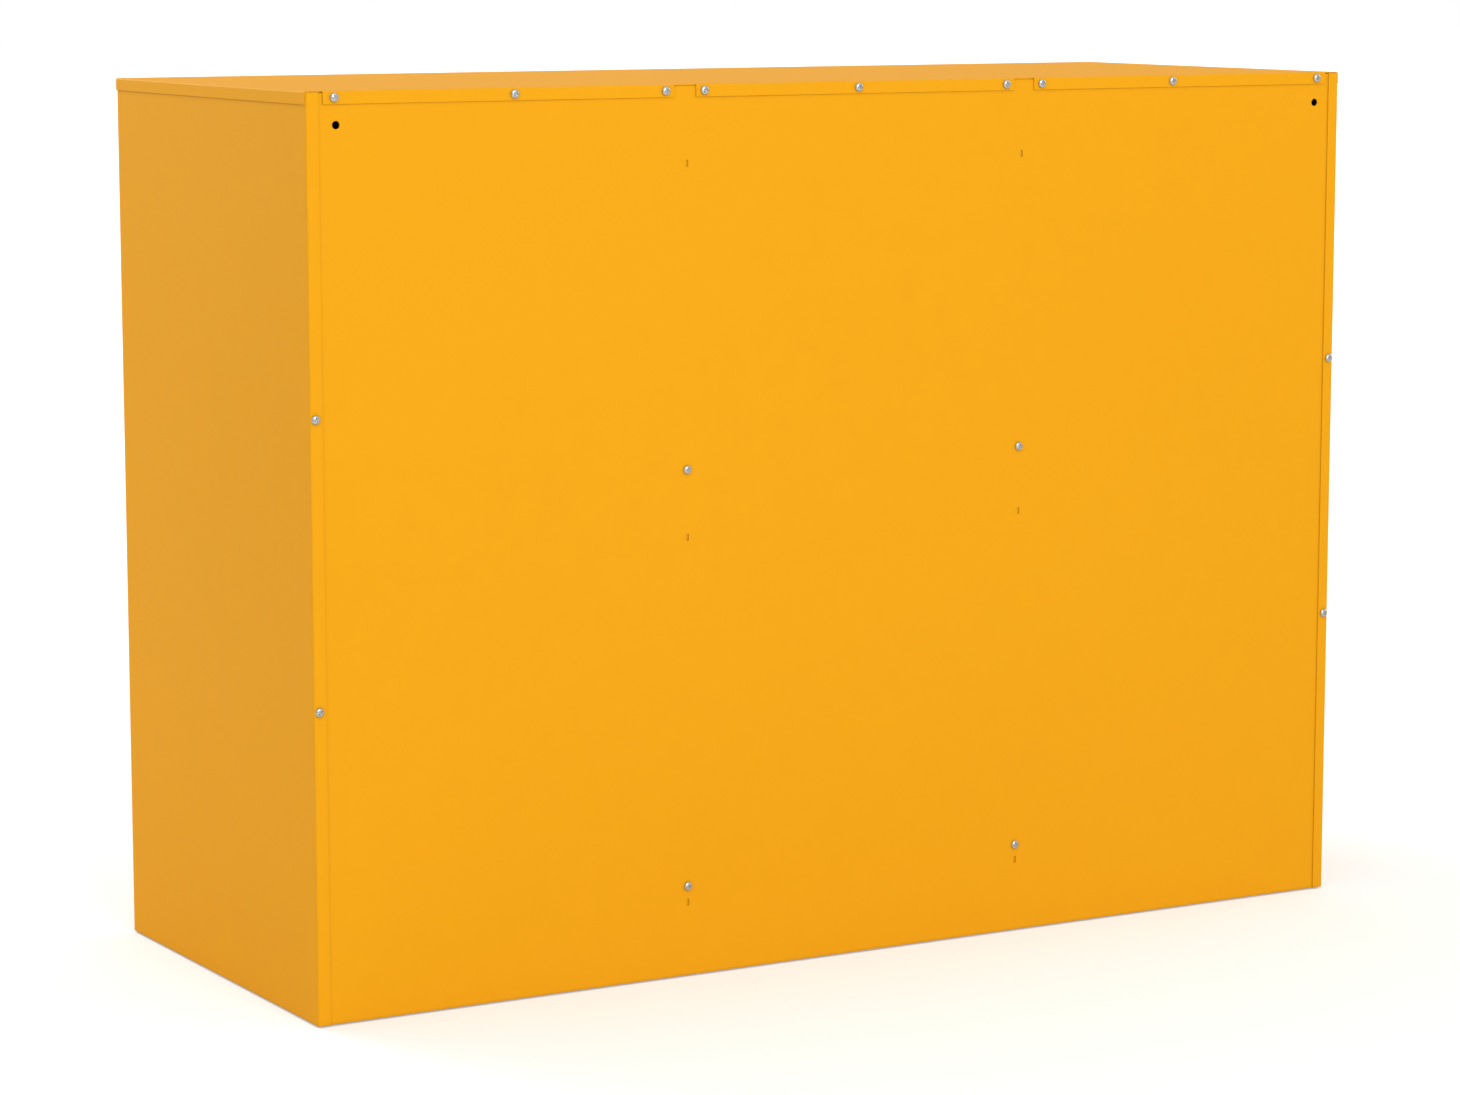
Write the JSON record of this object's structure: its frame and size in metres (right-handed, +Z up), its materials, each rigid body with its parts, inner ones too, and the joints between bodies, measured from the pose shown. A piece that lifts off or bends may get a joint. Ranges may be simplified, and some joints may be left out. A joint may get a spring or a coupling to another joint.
{
  "type": "steel sideboard",
  "caption": "Low steel sideboard of folded powder-coated sheet with swinging doors, shelved bays and a screwed-on back with wall fixing holes.",
  "frame": {"origin": "middle of the footprint at floor level", "axes": "+X along the row of doors, +Y from the doors to the back panel, +Z up"},
  "size_m": [0.99, 0.39, 0.73],
  "materials": {
    "powder_coat": "smooth satin powder coat, warm yellow",
    "zinc_screw": "bright zinc plate",
    "bright_steel": "zinc-plated steel, satin",
    "black_plastic": "fine-textured moulded black plastic",
    "nylon": "natural nylon",
    "catch_plastic": "white moulded plastic",
    "magnet": "dark sintered magnet"
  },
  "bodies": {
    "carcass": {"back_panel": "powder_coat", "base_brackets": "powder_coat", "base_nuts": "zinc_screw", "base_screws": "zinc_screw", "bottom_panel": "powder_coat", "catch_magnets": "magnet", "catch_screws": "zinc_screw", "door_catches": "catch_plastic", "foot_glides": "nylon", "partition_left": "powder_coat", "partition_right": "powder_coat", "partition_screws": "zinc_screw", "pivot_bushes": "nylon", "shelf_clips_left": "bright_steel", "shelf_clips_middle": "bright_steel", "shelf_clips_right": "bright_steel", "shelf_left": "powder_coat", "shelf_middle": "powder_coat", "shelf_right": "powder_coat", "shelf_strips_left": "powder_coat", "shelf_strips_middle": "powder_coat", "shelf_strips_right": "powder_coat", "side_flange_screws": "zinc_screw", "side_panel_left": "powder_coat", "side_panel_right": "powder_coat", "top_front_rail": "powder_coat", "top_panel": "powder_coat", "top_tab_screws": "zinc_screw"},
    "left_door": {"door_left": "powder_coat", "door_stiffener_left": "powder_coat", "pivot_pins_left": "bright_steel", "door_handle_left": "black_plastic", "handle_screws_left": "zinc_screw", "strike_plate_left": "bright_steel", "strike_screw_left": "zinc_screw"},
    "middle_door": {"door_middle": "powder_coat", "door_stiffener_middle": "powder_coat", "pivot_pins_middle": "bright_steel", "door_handle_middle": "black_plastic", "handle_screws_middle": "zinc_screw", "strike_plate_middle": "bright_steel", "strike_screw_middle": "zinc_screw"},
    "right_door": {"door_right": "powder_coat", "door_stiffener_right": "powder_coat", "pivot_pins_right": "bright_steel", "door_handle_right": "black_plastic", "handle_screws_right": "zinc_screw", "strike_plate_right": "bright_steel", "strike_screw_right": "zinc_screw"}
  },
  "joints": [
    {"name": "left_door_swing", "type": "hinge", "parent": "carcass", "child": "left_door", "pos_m": [-0.46225, -0.1814, 0.378], "axis": [0, 0, -1], "range_deg": [0, 110]},
    {"name": "middle_door_swing", "type": "hinge", "parent": "carcass", "child": "middle_door", "pos_m": [-0.13975, -0.1814, 0.378], "axis": [0, 0, -1], "range_deg": [0, 110]},
    {"name": "right_door_swing", "type": "hinge", "parent": "carcass", "child": "right_door", "pos_m": [0.46225, -0.1814, 0.378], "axis": [0, 0, 1], "range_deg": [0, 110]}
  ]
}
